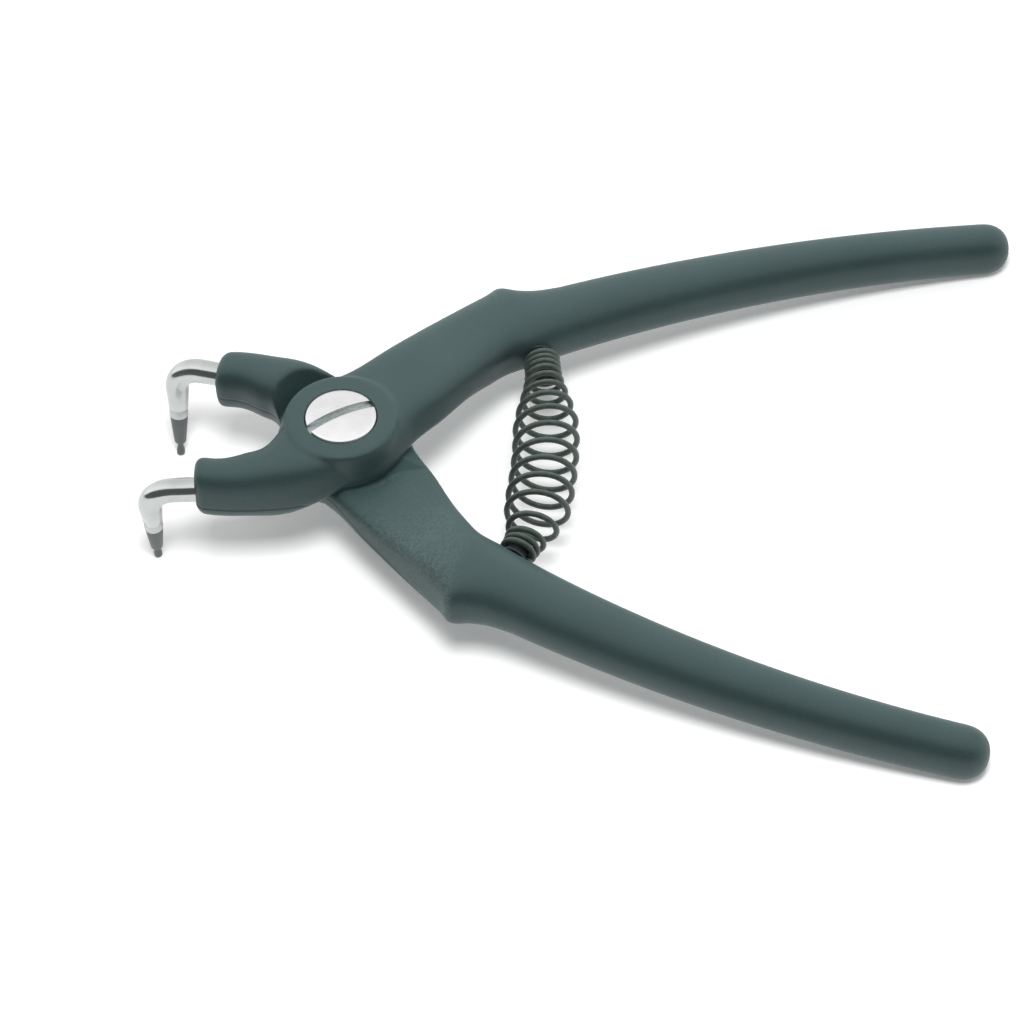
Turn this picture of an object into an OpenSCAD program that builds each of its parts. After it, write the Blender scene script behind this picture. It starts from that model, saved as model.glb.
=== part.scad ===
// Circlip pliers for internal rings: two lapped levers, tips bent square, opening spring outside
// Lengths in millimetres, angles in degrees, shown fully open

/* [Joint] */
// Thickness of each half of the lapped joint
lap_t = 5.6; // [5.2:0.1:6]
// Radius of the lap disc
disc_r = 10.3; // [10:0.1:10.8]
// Radius of the flat ring round the screw
boss_r = 8.65; // [8.2:0.05:9.2]
// Free space between the two lap faces
lap_gap = 0.1; // [0.06:0.02:0.2]
// Radial free space between a lap disc and the wall round it
recess_gap = 0.6; // [0.4:0.05:0.9]
// Outward slope of the wall round a lap disc
recess_slope = 3.2; // [2.4:0.1:3.6]

/* [Screw] */
// Radius of the screw head
head_r = 5.5; // [5:0.1:6]
// Height of the head's cylindrical rim
head_h = 1.8; // [1.4:0.1:2.2]
// Height of the dome on the head
dome_h = 0.9; // [0.5:0.1:1.1]
// Rise of the rim above the flat ring
head_rise = 0.15; // [0:0.05:0.4]
// Width of the screwdriver slot
slot_w = 1.5; // [1.1:0.1:1.9]
// Depth of the screwdriver slot below the rim
slot_d = 0.7; // [0.4:0.1:1]
// Direction of the screwdriver slot
slot_turn = 34; // [0:1:180]
// Radius of the bearing shank
shank_r = 3.2; // [2.9:0.1:3.6]
// Radial free space of the shank in the upper lever
shank_gap = 0.05; // [0.02:0.01:0.08]
// Radius of the threaded end
thread_r = 2.5; // [2.1:0.1:2.8]

/* [Jaws] */
// Reach of the jaw from the pivot
jaw_reach = 21.25; // [20.4:0.05:22.8]
// Sideways offset of the jaw from the middle line
jaw_off = 11.6; // [11.3:0.1:12]
// Width of the jaw at its end
jaw_w = 6.8; // [6.4:0.1:7.4]
// Thickness of the jaw
jaw_t = 8.2; // [7.6:0.1:8.8]
// Rounding of the jaw's end
jaw_round = 1.5; // [1:0.1:2]

/* [Neck] */
// Distance of the neck's outer edge from the pivot
neck_out = 7.75; // [7.35:0.1:8.15]
// Direction of the neck's outer edge
neck_turn = 46.3; // [44.8:0.5:47.8]
// Width of the neck
neck_w = 13.2; // [12.6:0.1:13.8]
// Start of the neck along its outer edge
neck_from = 8.6; // [8.1:0.1:9.1]
// Length of the neck along its outer edge
neck_run = 26.5; // [26:0.1:27]
// Height of the hump at the heel
heel_hump = 2.8; // [2:0.1:3.2]

/* [Grip] */
// Start of the grip along the middle line
grip_x = 24.35; // [23.8:0.05:24.9]
// Start of the grip away from the middle line
grip_y = 25.3; // [24.8:0.1:25.8]
// Direction of the grip at its start
grip_turn = 28.3; // [27:0.1:29.5]
// Change of direction along the grip
grip_bend = 18.5; // [14:0.5:22]
// Length of the grip along its curve
grip_len = 82; // [76:1:90]
// Width of the grip at its start
grip_w = 11.8; // [11.2:0.1:12.4]
// Width of the grip towards its end
grip_w_end = 7.6; // [7.2:0.1:8.4]
// Thickness of the grip at its start
grip_t = 9.2; // [8.8:0.1:9.6]
// Thickness of the grip towards its end
grip_t_end = 8; // [7.6:0.1:8.4]
// Length of the grip's rounded end
grip_round = 4.4; // [3.5:0.1:5.5]
// Place of the sleeve's edge along the grip
sleeve_at = 9; // [8.5:0.1:10]
// Width of the tang inside the sleeve
tang_w = 4.6; // [3.6:0.1:5]
// Thickness of the tang inside the sleeve
tang_t = 4.6; // [3.6:0.1:5]
// Length of the grip that is left without a tang
tang_short = 12; // [9:0.5:20]
// Free space between the sleeve and the lever
sleeve_gap = 0.06; // [0.04:0.01:0.1]

/* [Tips] */
// Sideways offset of the tip rods from the middle line at the jaw's end
tip_off = 12.1; // [11.9:0.05:12.3]
// Outward turn of the tip rods
tip_splay = 8; // [6:0.5:9]
// Radius of the tip rod
rod_r = 1.9; // [1.75:0.05:2.1]
// Straight rod in front of the jaw
rod_out = 3.2; // [2:0.1:5]
// Length of rod held in the jaw
rod_in = 7.6; // [6:0.1:8]
// Radius of the bend on the rod's middle line
bend_r = 4; // [3:0.1:5]
// Inward lean of the bent leg
tip_lean = 7.5; // [4:0.5:11]
// Length of the leg's tapered part
leg_h = 4.2; // [3.5:0.1:6]
// Radius of the band under the taper
band_r = 1.5; // [1.4:0.02:1.7]
// Height of the band
band_h = 1.6; // [0.8:0.1:2.4]
// Length of the dark cone
cone_h = 5.7; // [4.5:0.1:7]
// Radius at the foot of the cone
cone_r = 0.95; // [0.8:0.01:1.1]
// Radius of the pin's root
pin_root_r = 0.46; // [0.36:0.01:0.55]
// Length of the pin's root
pin_root_h = 0.9; // [0.5:0.1:1.5]
// Length of the pin's flare
pin_flare_h = 0.8; // [0.5:0.1:1.2]
// Radius of the pin that enters the ring's hole
pin_r = 0.65; // [0.58:0.01:0.75]
// Length of the pin that enters the ring's hole
pin_h = 0.8; // [0.6:0.1:1.4]
// Radial free space of the parts that are pressed in
press_gap = 0.02; // [0.01:0.005:0.04]

/* [Spring] */
// Place of the spring's seat along the upper grip
seat_up = 1.6; // [1.1:0.1:2.1]
// Place of the spring's seat along the lower grip
seat_low = 2.1; // [1.6:0.1:2.6]
// Radius of the spring pegs
peg_r = 1.5; // [1.3:0.05:1.6]
// Length of the pegs outside the lever
peg_out = 3.4; // [2.5:0.1:4]
// Depth of the pegs in the lever
peg_in = 4.5; // [3:0.1:6]
// Radius of the spring wire
wire_r = 0.47; // [0.38:0.01:0.5]
// Radius of the end coils on the wire's middle line
coil_end_r = 2.45; // [2.42:0.01:2.7]
// Radius of the middle coils on the wire's middle line
coil_mid_r = 4.8; // [4.2:0.1:5.3]
// Number of coils
coils = 17; // [15:1:18]
// Number of closed coils at the lower end
shut_low = 2.3; // [1.6:0.1:3]
// Number of closed coils at the upper end
shut_up = 2.4; // [1.6:0.1:3]
// Sideways bow of the spring
spring_bow = 2.6; // [2:0.1:3.2]

/* [Hidden] */

// Points round one section of a lever or sleeve
SEC = 24;
// Sections between two key sections of a lever
STEPS = 4;
// Points round the spring wire
WIRE_SEC = 6;
// Sections of one coil
COIL_STEPS = 16;

recess_r = disc_r + recess_gap;
lap_z = lap_gap / 2;
grip_rad = grip_len / (grip_bend * PI / 180);
bore_r = shank_r + shank_gap;
sink_r = head_r + 0.22;
sink_z = lap_t + head_rise - head_h - 0.05;
leg_total = leg_h + band_h + cone_h + pin_root_h + pin_flare_h + pin_h;

// Small helpers
function mix(a, b, t) = a + (b - a) * t;
function side(a) = [-sin(a), cos(a)];
function along(a) = [cos(a), sin(a)];
function power(v, e) = sign(v) * pow(abs(v), e);

// Smooth curve through four neighbouring key values
function spline(a, b, c, d, t) =
  b + 0.5 * t * (c - a + t * (2 * a - 5 * b + 4 * c - d + t * (3 * (b - c) + d - a)));

// Closed section between two points of the plan
function section(p, q, z0, z1, n) = [
  for (i = [0 : SEC - 1])
    let (a = 360 * (i + 0.5) / SEC)
    let (u = power(cos(a), 2 / n))
    let (w = power(sin(a), 2 / n))
    let (c = (p + q) / 2 + (p - q) / 2 * u)
    [c[0], c[1], (z0 + z1) / 2 + (z1 - z0) / 2 * w]
];

// Grip, measured along its curve
function grip_dir(s) = grip_turn - s / grip_rad * 180 / PI;
function grip_mid(s) =
  [grip_x, grip_y] + grip_rad * (side(grip_dir(s)) - side(grip_turn));
function grip_hw(s) =
  mix(grip_w_end, grip_w, pow(max(1 - s / grip_len, 0), 1.5)) / 2;
function grip_ht(s) = mix(grip_t, grip_t_end, s / grip_len) / 2;
function grip_cap(s) =
  let (e = (s - (grip_len - grip_round)) / grip_round)
  e <= 0 ? 1 : pow(1 - pow(min(e, 0.985), 2.3), 1 / 2.3);
function grip_section(s, out) =
  let (m = grip_mid(s))
  let (n = side(grip_dir(s)))
  let (k = grip_cap(s))
  section(m + n * (grip_hw(s) + out) * k, m - n * grip_hw(s) * k, -grip_ht(s) * k, grip_ht(s) * k, 2.6);

// Neck, measured along its outer edge
function neck_p(f) = neck_out * side(neck_turn) + (neck_from + f * neck_run) * along(neck_turn);
function neck_q(f, w, b) = neck_p(f) - neck_w * (w * side(neck_turn) + b * along(neck_turn));

// Key sections of a lever: plan point, plan point, bottom, top, squareness
jaw_z = jaw_t / 2;
end_skew = jaw_w / 2 * sin(tip_splay) * 0.75;
neck_z = lap_t - 0.3;
function heel_key(s, out) =
  let (m = grip_mid(s))
  let (n = side(grip_dir(s)))
  [m + n * (grip_hw(s) + out), m - n * grip_hw(s), -grip_ht(s), grip_ht(s), 2.6];
KEYS = [
  [[-jaw_reach - end_skew, -jaw_off + jaw_w * 0.56], [-jaw_reach + end_skew, -jaw_off - jaw_w * 0.46],
    -jaw_z * 0.95, jaw_z * 1.12, 4],
  [[-jaw_reach * 0.827, -jaw_off + jaw_w * 0.58], [-jaw_reach * 0.827, -jaw_off - jaw_w * 0.48],
    -jaw_z, jaw_z * 1.08, 4],
  [[-disc_r * 1.38, -jaw_off + jaw_w * 0.8], [-disc_r * 1.28, -jaw_off - jaw_w * 0.44], -jaw_z, jaw_z * 1.12, 4],
  [[-disc_r * 1.07, -jaw_off + jaw_w * 1.12], [-disc_r * 0.58, -jaw_off - jaw_w * 0.26], -jaw_z, jaw_z * 1.2, 4],
  [[-disc_r * 0.66, disc_r * 0.46], [disc_r * 0.25, -disc_r * 1.03], lap_z, neck_z, 5],
  [neck_p(0), neck_q(0, 1.24, 0.03), lap_z, neck_z, 5],
  [neck_p(0.26), neck_q(0.26, 1.155, 0.09), lap_z, neck_z, 5],
  [neck_p(0.53), neck_q(0.53, 1.045, 0.16), -grip_t * 0.17, mix(neck_z, grip_t / 2, 0.4), 4.5],
  [neck_p(0.79), neck_q(0.79, 0.968, 0.27), -grip_t * 0.35, mix(neck_z, grip_t / 2, 0.75), 4],
  [neck_p(1), neck_q(1, 0.945, 0.376), -grip_t * 0.46, mix(neck_z, grip_t / 2, 0.95), 3.4],
  heel_key(sleeve_at * 0.02, heel_hump),
  heel_key(sleeve_at * 0.29, heel_hump * 0.52),
  heel_key(sleeve_at * 0.6, heel_hump * 0.16),
  heel_key(sleeve_at - sleeve_gap, 0)
];
LAST = len(KEYS) - 1;
function key_at(i) = KEYS[min(max(i, 0), LAST)];
function key_mix(i, t) = [
  for (k = [0 : 4])
    spline(key_at(i - 1)[k], key_at(i)[k], key_at(i + 1)[k], key_at(i + 2)[k], t)
];
function key_section(k) = section(k[0], k[1], k[2], k[3], k[4]);

// Jaw end rounded by stepping the first section in
function end_key(a) =
  let (k = KEYS[0])
  let (c = (k[0] + k[1]) / 2)
  let (d = jaw_round * (1 - sin(a)))
  let (f = 1 - d / (jaw_w / 2))
  let (x = [jaw_round * (1 - cos(a)) - jaw_round, 0])
  [mix(c, k[0], f) + x + [jaw_round, 0], mix(c, k[1], f) + x + [jaw_round, 0], k[2] + d, k[3] - d, k[4]];

LEVER_RINGS = [
  for (a = [0, 25, 50]) key_section(end_key(a)),
  for (i = [0 : LAST - 1], j = [(i == 0 ? 2 : 0) : STEPS - 1]) key_section(key_mix(i, j / STEPS)),
  key_section(KEYS[LAST])
];

GRIP_STOPS = [
  for (i = [0 : 15]) mix(sleeve_at, grip_len - grip_round, i / 15),
  for (a = [20, 40, 57, 70, 80]) grip_len - grip_round + grip_round * sin(a)
];

// Skin drawn over a row of sections
module skin(rings) {
  n = len(rings);
  m = len(rings[0]);
  points = [for (r = rings) each r];
  sides = [
    for (k = [0 : n - 2], i = [0 : m - 1])
      let (j = (i + 1) % m)
      each [
        [k * m + i, (k + 1) * m + i, (k + 1) * m + j],
        [k * m + i, (k + 1) * m + j, k * m + j]
      ]
  ];
  first = [[for (i = [0 : m - 1]) i]];
  last = [[for (i = [m - 1 : -1 : 0]) (n - 1) * m + i]];
  polyhedron(points = points, faces = concat(sides, first, last), convexity = 8);
}

// Bar that runs inside the sleeve, grown by a free space
module tang_bar(from, to, grow) {
  stops = [for (i = [0 : 10]) mix(from, to, i / 10)];
  h = tang_w / 2 + grow;
  linear_extrude(height = tang_t + 2 * grow, center = true)
    polygon(concat(
      [for (s = stops) grip_mid(s) + side(grip_dir(s)) * h],
      [for (i = [10 : -1 : 0]) grip_mid(stops[i]) - side(grip_dir(stops[i])) * h]
    ));
}

// Seat of the spring on a lever's inner face, given its place along the grip
function seat_p(at) = grip_mid(at) - side(grip_dir(at)) * grip_hw(at);

// Places a shape that points up so that it leaves the seat along the spring's axis
module on_seat(at, turn) {
  translate([seat_p(at)[0], seat_p(at)[1], 0])
    rotate([0, 0, turn])
      rotate([90, 0, 0])
        children();
}

// Jaw's end, with the X axis along the tip rod
module at_jaw() {
  translate([-jaw_reach, -tip_off, 0])
    rotate([0, 0, tip_splay])
      children();
}

// Forging shared by both levers
module forging(at, turn) {
  difference() {
    union() {
      skin(LEVER_RINGS);
      rotate_extrude($fn = 96)
        polygon([
          [0, lap_z],
          [disc_r, lap_z],
          [mix(disc_r, boss_r, 0.75), lap_t - 1],
          [mix(disc_r, boss_r, 0.92), lap_t - 0.35],
          [boss_r, lap_t],
          [0, lap_t]
        ]);
      tang_bar(sleeve_at - 3, grip_len - tang_short, 0);
    }
    // Recess for the other lever's disc
    translate([0, 0, lap_z - jaw_t])
      cylinder(r1 = recess_r + recess_slope * jaw_t / lap_t, r2 = recess_r, h = jaw_t, $fn = 96);
    // Hole for the tip rod
    at_jaw()
      translate([-1, 0, 0])
        rotate([0, 90, 0])
          cylinder(r = rod_r + press_gap, h = rod_in + 1.1, $fn = 48);
    // Hole for the spring peg
    on_seat(at, turn)
      translate([0, 0, -peg_in - 0.1])
        cylinder(r = peg_r + press_gap, h = peg_in + 3, $fn = 48);
  }
}

// Sleeve shared by both levers
module sleeve() {
  difference() {
    skin([for (s = GRIP_STOPS) grip_section(s, 0)]);
    tang_bar(sleeve_at - 2, grip_len - tang_short + 0.4, sleeve_gap);
  }
}

// Tip rod along the X axis, leg bent down
module bent_tip() {
  translate([-rod_out, 0, 0])
    rotate([0, 90, 0])
      cylinder(r = rod_r, h = rod_out + rod_in, $fn = 48);
  translate([-rod_out, 0, -bend_r])
    rotate([0, -90, 0])
      rotate([90, 0, 0])
        rotate_extrude(angle = 90, $fn = 96)
          translate([bend_r, 0])
            circle(r = rod_r, $fn = 48);
  translate([-rod_out - bend_r, 0, -bend_r])
    rotate_extrude($fn = 48)
      polygon([
        [0, 0],
        [rod_r, 0],
        [band_r, -leg_h],
        [band_r, -leg_h - band_h],
        [cone_r, -leg_h - band_h - cone_h],
        [pin_root_r, -leg_h - band_h - cone_h],
        [pin_root_r, -leg_total + pin_h + pin_flare_h],
        [pin_r, -leg_total + pin_h],
        [pin_r, -leg_total],
        [0, -leg_total]
      ]);
}

module peg(at, turn) {
  on_seat(at, turn) {
    translate([0, 0, -peg_in])
      cylinder(r = peg_r, h = peg_in + peg_out - 0.5, $fn = 48);
    translate([0, 0, peg_out - 0.5])
      cylinder(r1 = peg_r, r2 = peg_r - 0.4, h = 0.5, $fn = 48);
  }
}

// Lower pieces are the upper ones turned over about the middle line
module turned() {
  rotate([180, 0, 0])
    children();
}

// Lap plane set so that the joint's underside lies at zero
module placed() {
  translate([0, 0, lap_t])
    children();
}

module upper_lever() {
  color([0.30, 0.35, 0.35])
    placed()
      difference() {
        forging(seat_up, up_turn);
        translate([0, 0, -1])
          cylinder(r = bore_r, h = lap_t + 2, $fn = 64);
        translate([0, 0, sink_z])
          cylinder(r = sink_r, h = lap_t, $fn = 64);
      }
}

module lower_lever() {
  color([0.28, 0.33, 0.33])
    placed()
      turned()
        difference() {
          forging(seat_low, low_turn);
          translate([0, 0, -1])
            cylinder(r = thread_r + press_gap, h = lap_t + 2, $fn = 64);
        }
}

module upper_grip() {
  color([0.32, 0.37, 0.37])
    placed()
      sleeve();
}

module lower_grip() {
  color([0.32, 0.37, 0.37])
    placed()
      turned()
        sleeve();
}

module upper_tip() {
  color([0.75, 0.76, 0.78])
    placed()
      at_jaw()
        rotate([tip_lean, 0, 0])
          bent_tip();
}

module lower_tip() {
  color([0.75, 0.76, 0.78])
    placed()
      mirror([0, 1, 0])
        at_jaw()
          rotate([tip_lean, 0, 0])
            bent_tip();
}

module upper_spring_peg() {
  color([0.35, 0.38, 0.38])
    placed()
      peg(seat_up, up_turn);
}

module lower_spring_peg() {
  color([0.35, 0.38, 0.38])
    placed()
      turned()
        peg(seat_low, low_turn);
}

module pivot_screw() {
  color([0.85, 0.86, 0.88])
    placed()
      difference() {
        union() {
          translate([0, 0, -lap_t + 0.4])
            cylinder(r = thread_r, h = lap_t + 1, $fn = 64);
          translate([0, 0, -lap_z])
            cylinder(r = shank_r, h = sink_z + 0.05 + lap_z + 0.5, $fn = 64);
          intersection() {
            translate([0, 0, sink_z + 0.05])
              cylinder(r = head_r, h = head_h + dome_h, $fn = 64);
            translate([0, 0, lap_t + head_rise + dome_h - dome_ball])
              sphere(r = dome_ball, $fn = 96);
          }
        }
        rotate([0, 0, slot_turn])
          translate([-head_r - 1, -slot_w / 2, lap_t + head_rise - slot_d])
            cube([2 * head_r + 2, slot_w, slot_d + dome_h + 1]);
      }
}
dome_ball = (head_r * head_r + dome_h * dome_h) / (2 * dome_h);

// Spring: its axis bows away from the joint and its coils widen to the middle
function axis_end(at, off) = seat_p(at) + (wire_r + off) * [sin(grip_dir(at)), -cos(grip_dir(at))];
end_low = [axis_end(seat_low, 0.3)[0], -axis_end(seat_low, 0.3)[1]];
end_up = axis_end(seat_up, 0.6);
axis_len = norm(end_up - end_low);
bow_at = 0.45;
coil_pitch = 2.15 * wire_r;
low_t = shut_low / coils;
up_t = shut_up / coils;
low_ease = 1.6 / coils;
up_ease = 4.4 / coils;
open_len = axis_len - coils * coil_pitch;
function ramp(x, e) = x < 0 ? 0 : x < e ? x * x / (2 * e) : x - e / 2;
function opened(t) =
  (ramp(t - low_t, low_ease) - ramp(t - 1 + up_t + up_ease, up_ease)) /
  (1 - low_t - up_t - low_ease / 2 - up_ease / 2);
function coil_v(t) = (coils * t * coil_pitch + open_len * opened(t)) / axis_len;
function swell(x) = let (c = min(max(x, 0), 1)) c * c * (3 - 2 * c);
function coil_r(v) = mix(coil_end_r, coil_mid_r, min(swell((v - 0.02) / 0.24), swell((0.95 - v) / 0.33)));
function bow(v) =
  v < bow_at ? 1 - pow(1 - v / bow_at, 3) : 1 - pow((v - bow_at) / (1 - bow_at), 1.6);
function axis_at(v) =
  let (m = mix(end_low, end_up, v))
  [m[0] + spring_bow * bow(v), m[1], 0];
low_run = axis_at(0.05) - axis_at(0);
up_run = axis_at(1) - axis_at(0.95);
low_turn = atan2(low_run[0], low_run[1]);
up_turn = atan2(-up_run[0], up_run[1]);
function wire_at(t) =
  let (v = coil_v(t))
  let (d = axis_at(min(v + 0.002, 1)) - axis_at(max(v - 0.002, 0)))
  let (e = [d[1], -d[0], 0] / norm(d))
  axis_at(v) + coil_r(v) * (e * cos(360 * coils * t) - [0, 0, 1] * sin(360 * coils * t));
function wire_ring(t) =
  let (v = coil_v(t))
  let (c = wire_at(t))
  let (f = wire_at(t + 0.0005) - wire_at(t - 0.0005))
  let (r = (c - axis_at(v)) / norm(c - axis_at(v)))
  let (s = cross(f, r) / norm(cross(f, r)))
  let (o = cross(s, f) / norm(cross(s, f)))
  [for (i = [0 : WIRE_SEC - 1]) c + wire_r * (o * cos(360 * i / WIRE_SEC) + s * sin(360 * i / WIRE_SEC))];

module opening_spring() {
  turns = coils * COIL_STEPS;
  color([0.30, 0.30, 0.26])
    placed()
      skin([for (i = [0 : turns]) wire_ring(i / turns)]);
}

lower_lever();
lower_grip();
lower_tip();
lower_spring_peg();
pivot_screw();
upper_lever();
upper_grip();
upper_tip();
upper_spring_peg();
opening_spring();
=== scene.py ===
# %% [markdown]
# # Circlip pliers with bent tips
# A small hand tool for internal retaining rings: two forged levers are lapped on a slotted
# screw, hard tips bent square are pressed into the jaws, and a barrel spring between the
# handles pushes them open. The solid model fixes where every piece is. Here each piece gets
# the soft edges, the fine surface and the finish of the real tool, in the same frame.

# %% Load the solid model
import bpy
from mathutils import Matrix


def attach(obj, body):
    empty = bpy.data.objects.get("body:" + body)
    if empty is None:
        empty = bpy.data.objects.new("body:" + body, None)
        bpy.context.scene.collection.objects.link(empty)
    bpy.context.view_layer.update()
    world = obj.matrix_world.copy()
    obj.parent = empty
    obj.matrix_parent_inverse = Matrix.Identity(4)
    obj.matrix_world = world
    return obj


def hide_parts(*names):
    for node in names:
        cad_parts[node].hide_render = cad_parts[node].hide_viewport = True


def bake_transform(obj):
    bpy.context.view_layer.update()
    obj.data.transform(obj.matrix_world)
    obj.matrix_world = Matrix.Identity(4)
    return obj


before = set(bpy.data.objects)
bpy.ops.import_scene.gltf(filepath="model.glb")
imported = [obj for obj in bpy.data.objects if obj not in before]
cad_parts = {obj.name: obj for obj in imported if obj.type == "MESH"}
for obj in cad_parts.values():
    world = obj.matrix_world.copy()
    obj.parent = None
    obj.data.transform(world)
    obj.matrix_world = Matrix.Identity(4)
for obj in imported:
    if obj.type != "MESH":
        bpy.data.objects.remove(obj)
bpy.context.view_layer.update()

# %% Modules and units
import math
import bmesh
import bpy
from mathutils import Matrix, Vector

MM = 0.001
scene = bpy.context.scene
scene.unit_settings.system = "METRIC"
print("one millimetre is", MM, "units")

# %% [markdown]
# ## The camera
# The photograph looks down on the tool from in front of the tips' side, nearly square to the
# middle line. A long lens from about 60 cm gives the slight perspective of the two handles.
# The camera could be aimed with a constraint, but the three angles and the two offsets
# below place it exactly, so they are used directly.

# %% Place the camera
AZIMUTH, ELEVATION, ROLL = (math.radians(a) for a in (7.407, 49.161, -1.436))
DISTANCE = 595.428
SHIFT_RIGHT, SHIFT_UP = -26.302, 11.035
PIXELS_PER_MM = 6.44
SENSOR, FRAME = 36, 1024
JOINT_MIDDLE = Vector((0, 0, 5.6))

right = Vector((math.cos(AZIMUTH), math.sin(AZIMUTH), 0))
back = Vector((
    math.sin(AZIMUTH) * math.cos(ELEVATION),
    -math.cos(AZIMUTH) * math.cos(ELEVATION),
    math.sin(ELEVATION),
))
up = back.cross(right)
right, up = (
    right * math.cos(ROLL) + up * math.sin(ROLL),
    up * math.cos(ROLL) - right * math.sin(ROLL),
)
camera = bpy.data.objects.new("Camera", bpy.data.cameras.new("Camera"))
scene.collection.objects.link(camera)
place = JOINT_MIDDLE + back * DISTANCE - right * SHIFT_RIGHT - up * SHIFT_UP
turn = Matrix((right, up, back)).transposed().to_4x4()
camera.matrix_world = Matrix.Translation(place * MM) @ turn
camera.data.sensor_width = SENSOR
camera.data.lens = SENSOR * PIXELS_PER_MM * DISTANCE / FRAME
camera.data.clip_start, camera.data.clip_end = 0.01, 20
scene.camera = camera
print("lens", round(camera.data.lens, 1), "mm, camera at", [round(v, 1) for v in place], "mm")

# %% [markdown]
# ## Helpers that make a mesh
# Most pieces here are a closed section that changes along a line. A curve with a bevel could
# draw them, but its section can't change freely, so one ring of points is extruded again and
# again, and each new ring is placed by a rule. Every point carries its own turn round the
# section in a layer of the mesh, which the extrusion copies on to the next ring. Round pieces
# are a profile that is spun once.

# %% Rings, skins and turned shapes
def keep(bm, name, smooth=True):
    """A bmesh in millimetres becomes an object in metres, at the origin."""
    bmesh.ops.scale(bm, vec=(MM, MM, MM), verts=bm.verts)
    mesh = bpy.data.meshes.new(name)
    bm.to_mesh(mesh)
    bm.free()
    for face in mesh.polygons:
        face.use_smooth = smooth
    piece = bpy.data.objects.new(name, mesh)
    scene.collection.objects.link(piece)
    return piece


def skin(rings, points):
    """Rules that give a point for each turn become one closed skin."""
    bm = bmesh.new()
    turn = bm.verts.layers.float.new("turn")
    for v in bmesh.ops.create_circle(bm, segments=points, radius=1)["verts"]:
        v[turn] = math.atan2(v.co.y, v.co.x)
        v.co = rings[0](v[turn])
    edges = list(bm.edges)
    for ring in rings[1:]:
        grown = bmesh.ops.extrude_edge_only(bm, edges=edges)["geom"]
        edges = [g for g in grown if isinstance(g, bmesh.types.BMEdge) and g.is_boundary]
        for g in grown:
            if isinstance(g, bmesh.types.BMVert):
                g.co = ring(g[turn])
    bmesh.ops.holes_fill(bm, edges=[e for e in bm.edges if e.is_boundary])
    bmesh.ops.recalc_face_normals(bm, faces=bm.faces)
    return bm


def lathe(profile, steps=96):
    """Points of radius and height, spun once round the Z axis."""
    bm = bmesh.new()
    row = [bm.verts.new((r, 0, z)) for r, z in profile]
    for a, b in zip(row, row[1:]):
        bm.edges.new((a, b))
    bmesh.ops.spin(bm, geom=bm.verts[:] + bm.edges[:], cent=(0, 0, 0), axis=(0, 0, 1),
                   angle=math.tau, steps=steps, use_merge=True)
    bmesh.ops.remove_doubles(bm, verts=bm.verts, dist=1e-5)
    bmesh.ops.recalc_face_normals(bm, faces=bm.faces)
    return bm


print("helpers for skins and turned shapes ready")

# %% [markdown]
# ## Helpers that change a mesh
# Holes and recesses are cut with a Boolean modifier. Its Manifold solver is quick and exact on
# closed meshes, and all meshes here are closed. The result is kept at once as the piece's own
# mesh, so that no live modifier is left behind.

# %% Cutting and mixing
def cut(piece, tool, operation="DIFFERENCE"):
    """Cuts a tool out of a piece, or joins it on, and throws the tool away."""
    step = piece.modifiers.new("cut", "BOOLEAN")
    step.operation, step.object, step.solver = operation, tool, "MANIFOLD"
    settle(piece)
    bpy.data.objects.remove(tool)


def settle(piece):
    """The modifiers' result becomes the piece's own mesh."""
    graph = bpy.context.evaluated_depsgraph_get()
    mesh = bpy.data.meshes.new_from_object(piece.evaluated_get(graph))
    piece.modifiers.clear()
    piece.data = mesh
    mesh.name = piece.name
    for face in mesh.polygons:
        face.use_smooth = True


def power(value, exponent):
    return math.copysign(abs(value) ** exponent, value)


def mix(a, b, t):
    return a + (b - a) * t


print("helpers for cutting ready")

# %% [markdown]
# ## Measures of a lever
# Both levers are the same forging, turned over. In plan it is a jaw, a lap disc, a neck that
# slants to the outside, a heel with a hump, and a grip that bends back gently. A list of key
# sections with a smooth curve between them gives this shape. Each key is two points of the
# plan, the bottom, the top and how square the section is.

# %% Measures
LAP_T, LAP_Z, DISC_R, BOSS_R = 5.6, 0.05, 10.3, 8.65
RECESS_R, RECESS_SLOPE = 10.9, 3.2
JAW_REACH, JAW_OFF, JAW_W, JAW_T, JAW_ROUND = 21.25, 11.6, 6.8, 8.2, 1.5
NECK_OUT, NECK_TURN, NECK_W, NECK_FROM, NECK_RUN, NECK_Z = 7.75, 46.3, 13.2, 8.6, 26.5, 5.3
HEEL_HUMP = 2.8
GRIP_X, GRIP_Y, GRIP_TURN, GRIP_BEND, GRIP_LEN = 24.35, 25.3, 28.3, 18.5, 82
GRIP_W, GRIP_W_END, GRIP_T, GRIP_T_END, GRIP_ROUND = 11.8, 7.6, 9.2, 8, 4.4
GRIP_SQUARE = 2.2
SLEEVE_AT, TANG_W, TANG_SHORT, SLEEVE_GAP = 9, 4.6, 12, 0.06
GRIP_RAD = GRIP_LEN / math.radians(GRIP_BEND)
print("grip bends on a radius of", round(GRIP_RAD, 1), "mm")

# %% [markdown]
# ## Lines of the grip
# The grip follows an arc in plan. It gets narrower and thinner towards its end, so its middle,
# its direction, its half width and its half height are functions of the length along it.

# %% Grip lines
def side(angle):
    return Vector((-math.sin(math.radians(angle)), math.cos(math.radians(angle))))


def along(angle):
    return Vector((math.cos(math.radians(angle)), math.sin(math.radians(angle))))


def grip_dir(s):
    return GRIP_TURN - math.degrees(s / GRIP_RAD)


def grip_mid(s):
    return Vector((GRIP_X, GRIP_Y)) + GRIP_RAD * (side(grip_dir(s)) - side(GRIP_TURN))


def grip_half(s):
    return mix(GRIP_W_END, GRIP_W, max(1 - s / GRIP_LEN, 0) ** 1.5) / 2


def grip_rise(s):
    return mix(GRIP_T, GRIP_T_END, s / GRIP_LEN) / 2


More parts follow.
